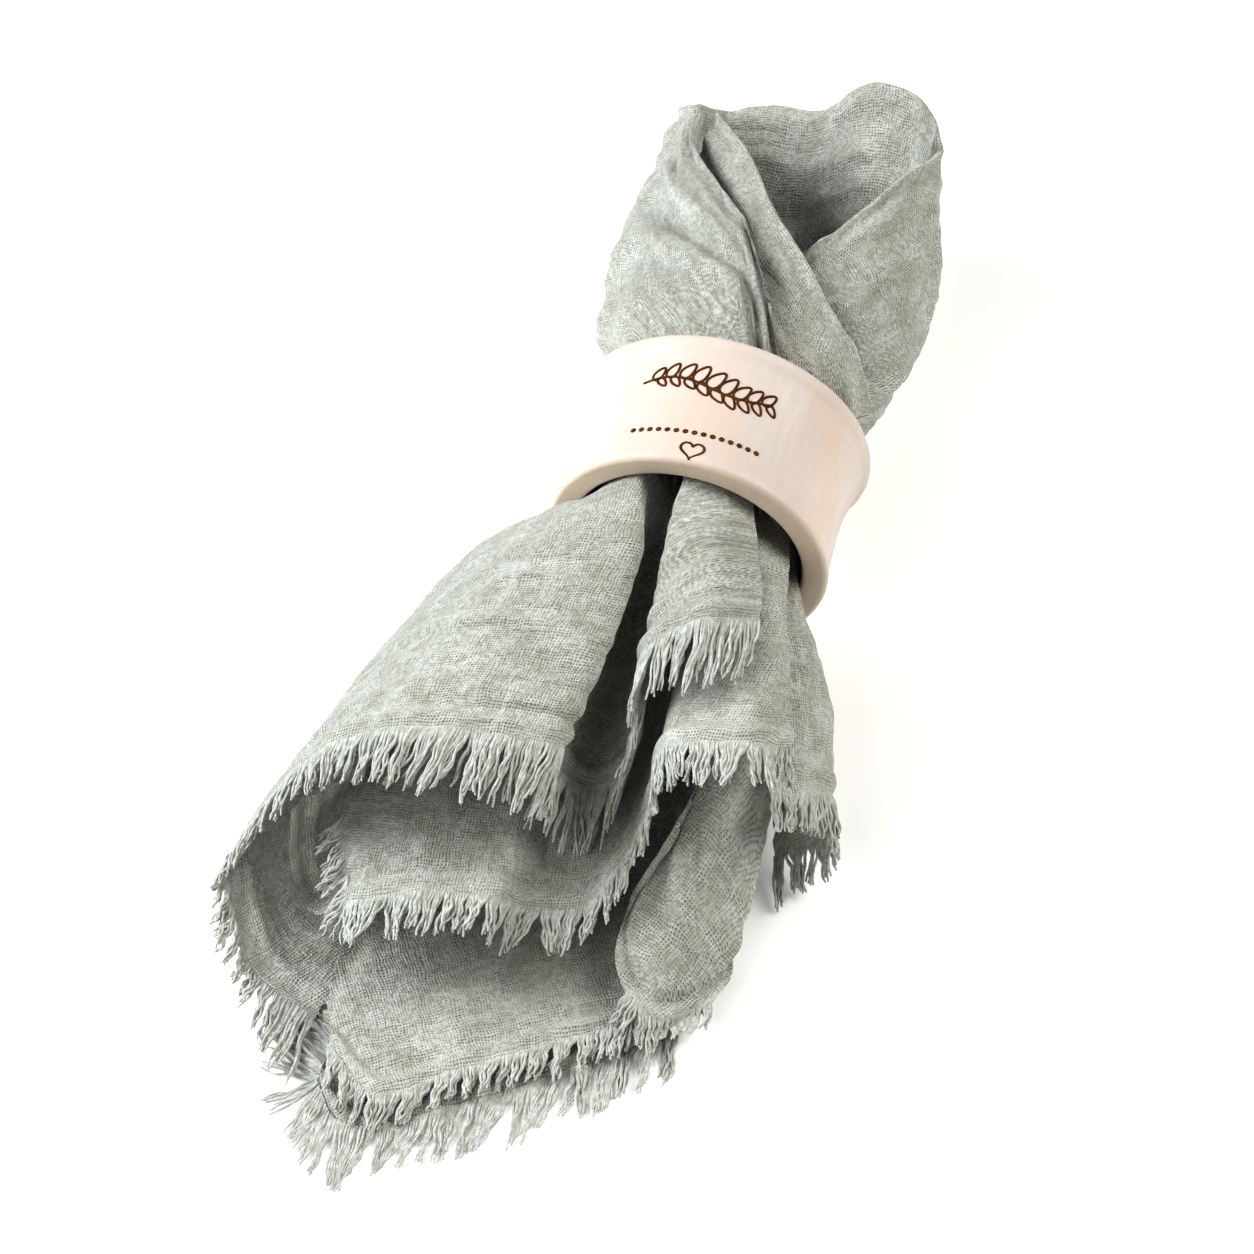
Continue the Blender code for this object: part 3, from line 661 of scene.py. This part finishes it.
# %% [markdown]
# ### Inside the ring
# Most of the cloth's width is squeezed into the bore, where it zigzags in close pleats.


# %% Lay the pleats inside the ring
def lay_pleats():
    count, radius, pitch = 19, 15.5, 1.6
    path = []
    for k in range(count):
        x = (k - (count - 1) / 2) * pitch
        reach = math.sqrt(max(radius**2 - x**2, 1.0))
        ends = (-reach, reach) if k % 2 else (reach, -reach)
        path += [(x, z) for z in np.linspace(*ends, 12)]
    stations = np.linspace(-9.5, 9.5, 9)
    sheet = np.array([[(x, y, z) for x, z in path] for y in stations])
    places = flat_places(sheet)
    lay(sheet, places, np.full(sheet.shape[:2], 100.0), 13.0)


lay_pleats()
napkin = finished("napkin_cloth", mesh_from("napkin_cloth", cloth), muslin_finish)
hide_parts("napkin")

# %% [markdown]
# ## The fringes
# Along each hem the cross yarns have been pulled out, and the ones that are left hang as wavy strands
# that cling together in small tassels.  Each strand is a spline with a round bevel, which Blender then
# turns into a mesh.  All strands of a hem share one curve, so a fringe is one piece.


# %% Yarn finish
def loose_yarn():
    nodes = Nodes("sage yarn")
    where = nodes.add("ShaderNodeTexCoord").outputs["Object"]
    shade = nodes.ramp(nodes.noise(where, 900.0, 2.0), 0.3, 0.7)
    colour = nodes.blend(shade, (0.48, 0.49, 0.445), (0.64, 0.655, 0.625))
    nodes.feed(nodes.shader, "Base Color", colour)
    fibre = nodes.noise(where, 3800.0, 2.0)
    nodes.feed(nodes.shader, "Normal", nodes.raised(fibre, 0.0002))
    nodes.shader.inputs["Roughness"].default_value = 0.95
    nodes.shader.inputs["Specular IOR Level"].default_value = 0.2
    nodes.shader.inputs["Sheen Weight"].default_value = 0.25
    return nodes.material


yarn_finish = loose_yarn()

# %% Strands along a hem
STRAND_PITCH = 0.27
STRAND_RADIUS = 0.25
STRAND_POINTS = 10
DOWN = np.array([0.0, -1.0, 0.0])


def part_of(hem, start, end):
    """The stretch of a hem between two shares of its points."""
    a, b = int(start * (len(hem.points) - 1)), int(end * (len(hem.points) - 1)) + 1
    return Hem(hem.points[a:b], hem.outwards[a:b], hem.normals[a:b])


def unit(vectors):
    return vectors / np.maximum(np.linalg.norm(vectors, axis=-1, keepdims=True), 1e-9)


class Run:
    """Several edges, one after the other, measured in mm from the start."""

    def __init__(self, hems, drag):
        self.points = np.concatenate([h.points for h in hems])
        outwards = unit(unit(np.concatenate([h.outwards for h in hems])) + DOWN * drag)
        for _ in range(4):
            padded = np.concatenate([outwards[:1], outwards, outwards[-1:]])
            outwards = unit(padded[:-2] + padded[1:-1] + padded[2:])
        self.outwards = outwards
        self.normals = np.concatenate([h.normals for h in hems])
        self.marks = np.concatenate([[0], np.cumsum(np.linalg.norm(np.diff(self.points, axis=0), axis=1))])
        self.length = self.marks[-1]

    def at(self, place, values):
        return np.array([np.interp(place, self.marks, values[:, axis]) for axis in range(3)])

    def frame(self, place):
        """The point at a place, and the ways out, up and along from it."""
        out = unit(self.at(place, self.outwards))
        up = self.at(place, self.normals)
        up = unit(up - out * (up @ out))
        side = np.cross(out, up)
        onward = self.at(place + 0.3, self.points) - self.at(place - 0.3, self.points)
        return self.at(place, self.points), out, up, side * (1.0 if onward @ side > 0 else -1.0)


def tassels(run, chance):
    """The strands cling in tassels: where each ends, and how it leans, lifts, grips and stretches."""
    ends = [0.0]
    while ends[-1] < run.length:
        ends.append(ends[-1] + chance.uniform(1.0, 3.2))
    count = len(ends)
    return {
        "ends": np.array(ends),
        "lean": chance.normal(0, 0.9, count),
        "lift": chance.normal(0, 0.5, count),
        "grip": chance.uniform(0.15, 0.7, count),
        "stretch": chance.uniform(0.84, 1.08, count),
        "phase": chance.uniform(0, 2 * np.pi, count),
    }


def strand(run, groups, place, length, chance, fall):
    """The points of one strand, in mm."""
    root, out, up, side = run.frame(place)
    n = min(int(np.searchsorted(groups["ends"], place)), len(groups["ends"]) - 1)
    middle = (groups["ends"][max(n - 1, 0)] + groups["ends"][n]) / 2
    pull = (middle - place) * groups["grip"][n]
    phase = groups["phase"][n] + chance.normal(0, 0.7)
    turns = chance.uniform(1.1, 2.0)
    sway, bob = chance.uniform(0.15, 0.42), chance.uniform(0.1, 0.4)
    layer = chance.uniform(-0.35, 0.35)
    f = np.linspace(0, 1, STRAND_POINTS)[:, None]
    begun = np.minimum(f * 2.5, 1)
    wave = sway * begun * (np.sin(phase + turns * 2 * np.pi * f) - math.sin(phase))
    spots = root + out * (length * f - 0.9)
    spots = spots + side * (pull * f * f * (3 - 2 * f) + groups["lean"][n] * f**1.6 + wave)
    bobbing = bob * f * np.cos(phase * 1.7 + turns * 5.3 * f)
    spots = spots + up * (groups["lift"][n] * f + bobbing + layer * begun)
    spots[:, 2] -= (fall * f * f)[:, 0]
    return spots


def fringe(name, node, hems, lengths, seed, fall=0.6, bed=0.0, drag=0.0):
    """Strands along hems.  The lengths are pairs: a share of the run, and the strands' length there."""
    run = Run(hems, drag)
    chance = np.random.default_rng(seed)
    groups = tassels(run, chance)
    curve = bpy.data.curves.new(name, "CURVE")
    curve.dimensions = "3D"
    curve.bevel_depth = STRAND_RADIUS * MM
    curve.bevel_resolution = 1
    curve.use_fill_caps = True
    lowest = -AXIS_HEIGHT + STRAND_RADIUS + bed
    shares, reaches = zip(*lengths)
    for place in np.arange(STRAND_PITCH / 2, run.length, STRAND_PITCH):
        place = float(np.clip(place + chance.normal(0, 0.1), 0, run.length))
        n = min(int(np.searchsorted(groups["ends"], place)), len(groups["ends"]) - 1)
        length = np.interp(place / run.length, shares, reaches)
        length = length * groups["stretch"][n] * chance.uniform(0.84, 1.06)
        spots = strand(run, groups, place, length, chance, fall)
        spots[:, 2] = np.maximum(spots[:, 2], lowest)
        spline = curve.splines.new("POLY")
        spline.points.add(STRAND_POINTS - 1)
        for k, (point, spot) in enumerate(zip(spline.points, placed(spots))):
            point.co = (*spot, 1.0)
            point.radius = 1.0 - 0.35 * (k / (STRAND_POINTS - 1)) ** 4
    strands = bpy.data.objects.new(name, curve)
    bpy.context.scene.collection.objects.link(strands)
    bpy.context.view_layer.update()
    mesh = bpy.data.meshes.new_from_object(strands.evaluated_get(bpy.context.evaluated_depsgraph_get()))
    bpy.data.objects.remove(strands)
    mesh.shade_smooth()
    piece = finished(name, mesh, yarn_finish)
    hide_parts(node)
    return piece


# %% Make the fringes
TOP_LENGTHS = ((0.0, 11.5), (0.55, 11.0), (0.66, 6.0), (0.93, 5.0), (0.97, 11.5), (1.0, 12.0))
SECOND_LENGTHS = ((0.0, 7.5), (0.8, 8.0), (0.9, 5.5), (1.0, 5.0))
RIGHT_LENGTHS = ((0.0, 8.0), (1.0, 8.5))
THIRD_LENGTHS = ((0.0, 6.0), (1.0, 6.0))
FOURTH_LENGTHS = ((0.0, 6.5), (1.0, 6.5))
BOTTOM_LENGTHS = ((0.0, 10.0), (0.8, 11.0), (0.9, 9.0), (1.0, 5.0))
second_hems = [second["hem"], part_of(second["far side"], 0.0, 0.3)]
third_hems = [part_of(third["hem"], 0.3, 0.66)]
bottom_hems = [bottom["hem"], part_of(bottom["far side"], 0.0, 0.16)]
fringes = [
    fringe("top_fringe", "fringe_top", [top["hem"]], TOP_LENGTHS, 21, fall=1.5, drag=0.35),
    fringe("second_fringe", "fringe_second", second_hems, SECOND_LENGTHS, 22, fall=0.8, drag=0.7),
    fringe("right_fringe", "fringe_right", [right["hem"]], RIGHT_LENGTHS, 23, fall=0.8),
    fringe("third_fringe", "fringe_third", third_hems, THIRD_LENGTHS, 24, bed=3.0),
    fringe("fourth_fringe", "fringe_fourth", [fourth["hem"]], FOURTH_LENGTHS, 25, bed=1.0),
    fringe("bottom_fringe", "fringe_bottom", bottom_hems, BOTTOM_LENGTHS, 26, drag=0.4),
]

# %% [markdown]
# ## The ring
# The ring is turned on a lathe from pale maple.  Its section is drawn once and spun about the axis, as
# the lathe does.  The outer side is waisted, and the rims are eased.  Under the head rim a narrow flat
# lets it stand, so points that would go below the table are lifted onto it.

# %% Ring section
RING_LENGTH = 26.0
HEAD_RIM_RADIUS = 25.0
TAIL_RIM_RADIUS = 23.6
WAIST_RADIUS = 22.8
BORE_RADIUS = 19.2


def outer_radius(along):
    rim = HEAD_RIM_RADIUS if along > 0 else TAIL_RIM_RADIUS
    return WAIST_RADIUS + (rim - WAIST_RADIUS) * (along / (RING_LENGTH / 2)) ** 2


def arc(middle, radius, start, end, steps):
    turns = np.radians(np.linspace(start, end, steps + 1))
    return [(middle[0] + radius * math.cos(a), middle[1] + radius * math.sin(a)) for a in turns]


def ring_section():
    half = RING_LENGTH / 2
    section = arc((HEAD_RIM_RADIUS - 1.7, half - 1.7), 1.7, 90, 12, 6)
    section += [(outer_radius(along), along) for along in np.linspace(half - 2.6, 2.6 - half, 17)]
    section += arc((TAIL_RIM_RADIUS - 1.1, 1.1 - half), 1.1, -12, -90, 6)
    section += arc((BORE_RADIUS + 0.8, 0.8 - half), 0.8, -90, -180, 5)
    section += arc((BORE_RADIUS + 0.8, half - 0.8), 0.8, 180, 90, 5)
    return section


# %% [markdown]
# ### Maple
# Maple is pale and close-grained: faint streaks run along the ring, with soft peach patches, and the
# cut end is darker because it shows end grain.


# %% Maple finish
def maple():
    nodes = Nodes("pale maple")
    texture = nodes.add("ShaderNodeTexCoord")
    where, facing_way = texture.outputs["Object"], texture.outputs["Normal"]
    streaks = nodes.noise(nodes.stretched(where, (900.0, 60.0, 900.0)), 1.0, 4.0, 0.6)
    pores = nodes.ramp(nodes.noise(nodes.stretched(where, (2600.0, 160.0, 2600.0)), 1.0, 2.0), 0.60, 0.78)
    patches = nodes.noise(nodes.stretched(where, (70.0, 45.0, 70.0)), 1.0, 2.0)
    colour = nodes.blend(nodes.ramp(patches, 0.35, 0.7), (0.66, 0.60, 0.555), (0.66, 0.565, 0.50))
    dark_streaks = nodes.math("MULTIPLY", nodes.ramp(streaks, 0.35, 0.75), 0.2)
    colour = nodes.blend(dark_streaks, colour, (0.60, 0.495, 0.42))
    colour = nodes.blend(nodes.math("MULTIPLY", pores, 0.18), colour, (0.45, 0.33, 0.25))
    ends = nodes.add("ShaderNodeSeparateXYZ", Vector=facing_way).outputs[1]
    ends = nodes.ramp(nodes.math("ABSOLUTE", ends), 0.62, 0.92)
    pores = nodes.ramp(nodes.noise(where, 1500.0, 3.0), 0.3, 0.7)
    end_grain = nodes.blend(pores, (0.70, 0.595, 0.49), (0.74, 0.64, 0.54))
    colour = nodes.blend(ends, colour, end_grain)
    nodes.feed(nodes.shader, "Base Color", colour)
    nodes.feed(nodes.shader, "Roughness", nodes.ramp(streaks, 0.3, 0.7, 0.42, 0.56))
    nodes.feed(nodes.shader, "Normal", nodes.raised(streaks, 0.00006))
    nodes.shader.inputs["Specular IOR Level"].default_value = 0.35
    return nodes.material


# %% Turn the ring
def turned_ring():
    bm = bmesh.new()
    section = [bm.verts.new((radius, along, 0)) for radius, along in ring_section()]
    edges = [bm.edges.new((a, b)) for a, b in zip(section, section[1:] + section[:1])]
    bmesh.ops.spin(
        bm, geom=section + edges, cent=(0, 0, 0), axis=(0, 1, 0), angle=2 * math.pi, steps=144,
        use_merge=True, use_duplicate=False,
    )
    bmesh.ops.remove_doubles(bm, verts=bm.verts, dist=0.001)
    bmesh.ops.recalc_face_normals(bm, faces=bm.faces)
    for vert in bm.verts:
        vert.co.z = max(vert.co.z, -AXIS_HEIGHT)
        vert.co = Vector(placed(vert.co))
    return mesh_from("turned_ring", bm)


ring = finished("turned_ring", turned_ring(), maple())
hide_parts("ring")

# %% [markdown]
# ## The burnt motif
# A sprig of leaves, a row of dots and a small heart are burnt into the top of the ring.  They are drawn
# flat, as thin strokes, and then wrapped onto the waisted side: one coordinate becomes the way round
# the ring and the other the way along it.

# %% Strokes of the motif
STROKE = 0.22


def leaf(x, y, length, angle, width=0.36):
    steps = np.linspace(0, 2 * np.pi, 17)
    a = math.radians(angle)
    outline = []
    for t in steps:
        u = length * (0.5 - 0.5 * math.cos(t))
        v = length * width * math.sin(t) * (0.75 + 0.25 * math.cos(t))
        outline.append((x + u * math.cos(a) - v * math.sin(a), y + u * math.sin(a) + v * math.cos(a)))
    return outline


def stem(x):
    return 3.6 + 1.0 * math.sin((x + 12) * 0.30) - 0.02 * (x + 1)


motif = [[(x, stem(x)) for x in np.linspace(-12, 10, 40)]]
for k, x in enumerate(np.linspace(-10.2, 8.6, 9)):
    motif.append(leaf(x, stem(x), 3.9 - 0.12 * abs(x), 52 + 4 * (k % 2)))
    motif.append(leaf(x + 0.9, stem(x + 0.9), 3.1 - 0.1 * abs(x), -46 - 5 * (k % 2)))
for x in np.linspace(-11, 10, 15):
    motif.append([(x + 0.28 * math.cos(t), -6.4 + 0.28 * math.sin(t)) for t in np.linspace(0, 2 * np.pi, 9)])
heart = []
for t in np.linspace(0, 2 * np.pi, 41):
    height = 13 * math.cos(t) - 5 * math.cos(2 * t) - 2 * math.cos(3 * t) - math.cos(4 * t)
    heart.append((0.119 * 16 * math.sin(t) ** 3, -10.2 + 0.125 * height))
motif.append(heart)


def burnt():
    nodes = Nodes("burnt line")
    where = nodes.add("ShaderNodeTexCoord").outputs["Object"]
    scorch = nodes.ramp(nodes.noise(where, 700.0, 3.0), 0.3, 0.7)
    nodes.feed(nodes.shader, "Base Color", nodes.blend(scorch, (0.085, 0.032, 0.010), (0.16, 0.065, 0.022)))
    nodes.feed(nodes.shader, "Normal", nodes.raised(scorch, 0.00005))
    nodes.shader.inputs["Roughness"].default_value = 0.85
    nodes.shader.inputs["Specular IOR Level"].default_value = 0.1
    return nodes.material


def burnt_motif():
    curve = bpy.data.curves.new("motif", "CURVE")
    curve.dimensions = "3D"
    curve.bevel_depth = STROKE
    curve.bevel_resolution = 1
    curve.use_fill_caps = True
    for stroke in motif:
        spline = curve.splines.new("POLY")
        spline.points.add(len(stroke) - 1)
        for point, (x, y) in zip(spline.points, stroke):
            point.co = (x, y, 0, 1)
    strokes = bpy.data.objects.new("motif", curve)
    bpy.context.scene.collection.objects.link(strokes)
    bpy.context.view_layer.update()
    mesh = bpy.data.meshes.new_from_object(strokes.evaluated_get(bpy.context.evaluated_depsgraph_get()))
    bpy.data.objects.remove(strokes)
    for vert in mesh.vertices:
        x, y, z = vert.co
        radius = outer_radius(y) + 0.02 + 0.12 * z / STROKE
        turn = x / WAIST_RADIUS
        vert.co = Vector(placed((radius * math.sin(turn), y, radius * math.cos(turn))))
    mesh.shade_smooth()
    return mesh


finished("burnt_motif", burnt_motif(), burnt())

# %% [markdown]
# ## Floor, light and camera
# A plain pale floor and large soft lights show the cloth without hard shadows.  The camera stands a
# little to the right, high above the tail, with a long lens.

# %% Floor


def pale_floor():
    nodes = Nodes("pale floor")
    nodes.shader.inputs["Base Color"].default_value = (0.93, 0.93, 0.925, 1.0)
    nodes.shader.inputs["Emission Color"].default_value = (1.0, 1.0, 0.99, 1.0)
    nodes.shader.inputs["Emission Strength"].default_value = 0.22
    nodes.shader.inputs["Roughness"].default_value = 0.9
    nodes.shader.inputs["Specular IOR Level"].default_value = 0.1
    return nodes.material


floor_bm = bmesh.new()
just_below = Matrix.Translation((0, 0, -0.0002))
bmesh.ops.create_grid(floor_bm, x_segments=4, y_segments=4, size=3.0, matrix=just_below)
floor_mesh = mesh_from("floor", floor_bm)
floor_mesh.materials.append(pale_floor())
floor = bpy.data.objects.new("floor", floor_mesh)
bpy.context.scene.collection.objects.link(floor)

# %% Lights
middle = Vector(RING_MIDDLE)


def soft_light(name, direction, distance, size, power, colour=(1, 1, 1)):
    data = bpy.data.lights.new(name, "AREA")
    data.shape = "DISK"
    data.size = size
    data.energy = power
    data.color = colour
    lamp = bpy.data.objects.new(name, data)
    towards = Vector(direction).normalized()
    lamp.location = middle + towards * distance
    lamp.rotation_euler = towards.to_track_quat("Z", "Y").to_euler()
    bpy.context.scene.collection.objects.link(lamp)


def from_angles(azimuth, elevation):
    a, e = math.radians(azimuth), math.radians(elevation)
    return math.cos(a) * math.cos(e), math.sin(a) * math.cos(e), math.sin(e)


soft_light("window", from_angles(185, 34), 1.3, 0.9, 24.5, (0.94, 0.97, 1.0))
soft_light("second window", from_angles(25, 40), 1.3, 0.9, 16.5, (1.0, 0.99, 0.97))
soft_light("front fill", from_angles(245, 42), 1.3, 0.9, 6.0, (1.0, 0.99, 0.97))
world = bpy.data.worlds.new("studio")
world.use_nodes = True
world.node_tree.nodes["Background"].inputs["Color"].default_value = (1.0, 0.92, 0.76, 1.0)
world.node_tree.nodes["Background"].inputs["Strength"].default_value = 0.07
bpy.context.scene.world = world
view = bpy.context.scene.view_settings
view.view_transform = "Standard"
view.gamma = 0.72

# %% Camera
turn, rise, distance = math.radians(14.5), math.radians(53), 1.2
back = Vector((math.sin(turn) * math.cos(rise), -math.cos(turn) * math.cos(rise), math.sin(rise)))
right_way = Vector((math.cos(turn), math.sin(turn), 0))
up_way = back.cross(right_way)
aim = middle - right_way * 0.01296 - up_way * 0.0223
lens = bpy.data.cameras.new("camera")
lens.sensor_width = 36.0
lens.lens = 210.0
camera = bpy.data.objects.new("camera", lens)
looking = Matrix((right_way, up_way, back)).transposed().to_4x4()
camera.matrix_world = Matrix.Translation(aim + back * distance) @ looking
bpy.context.scene.collection.objects.link(camera)
bpy.context.scene.camera = camera
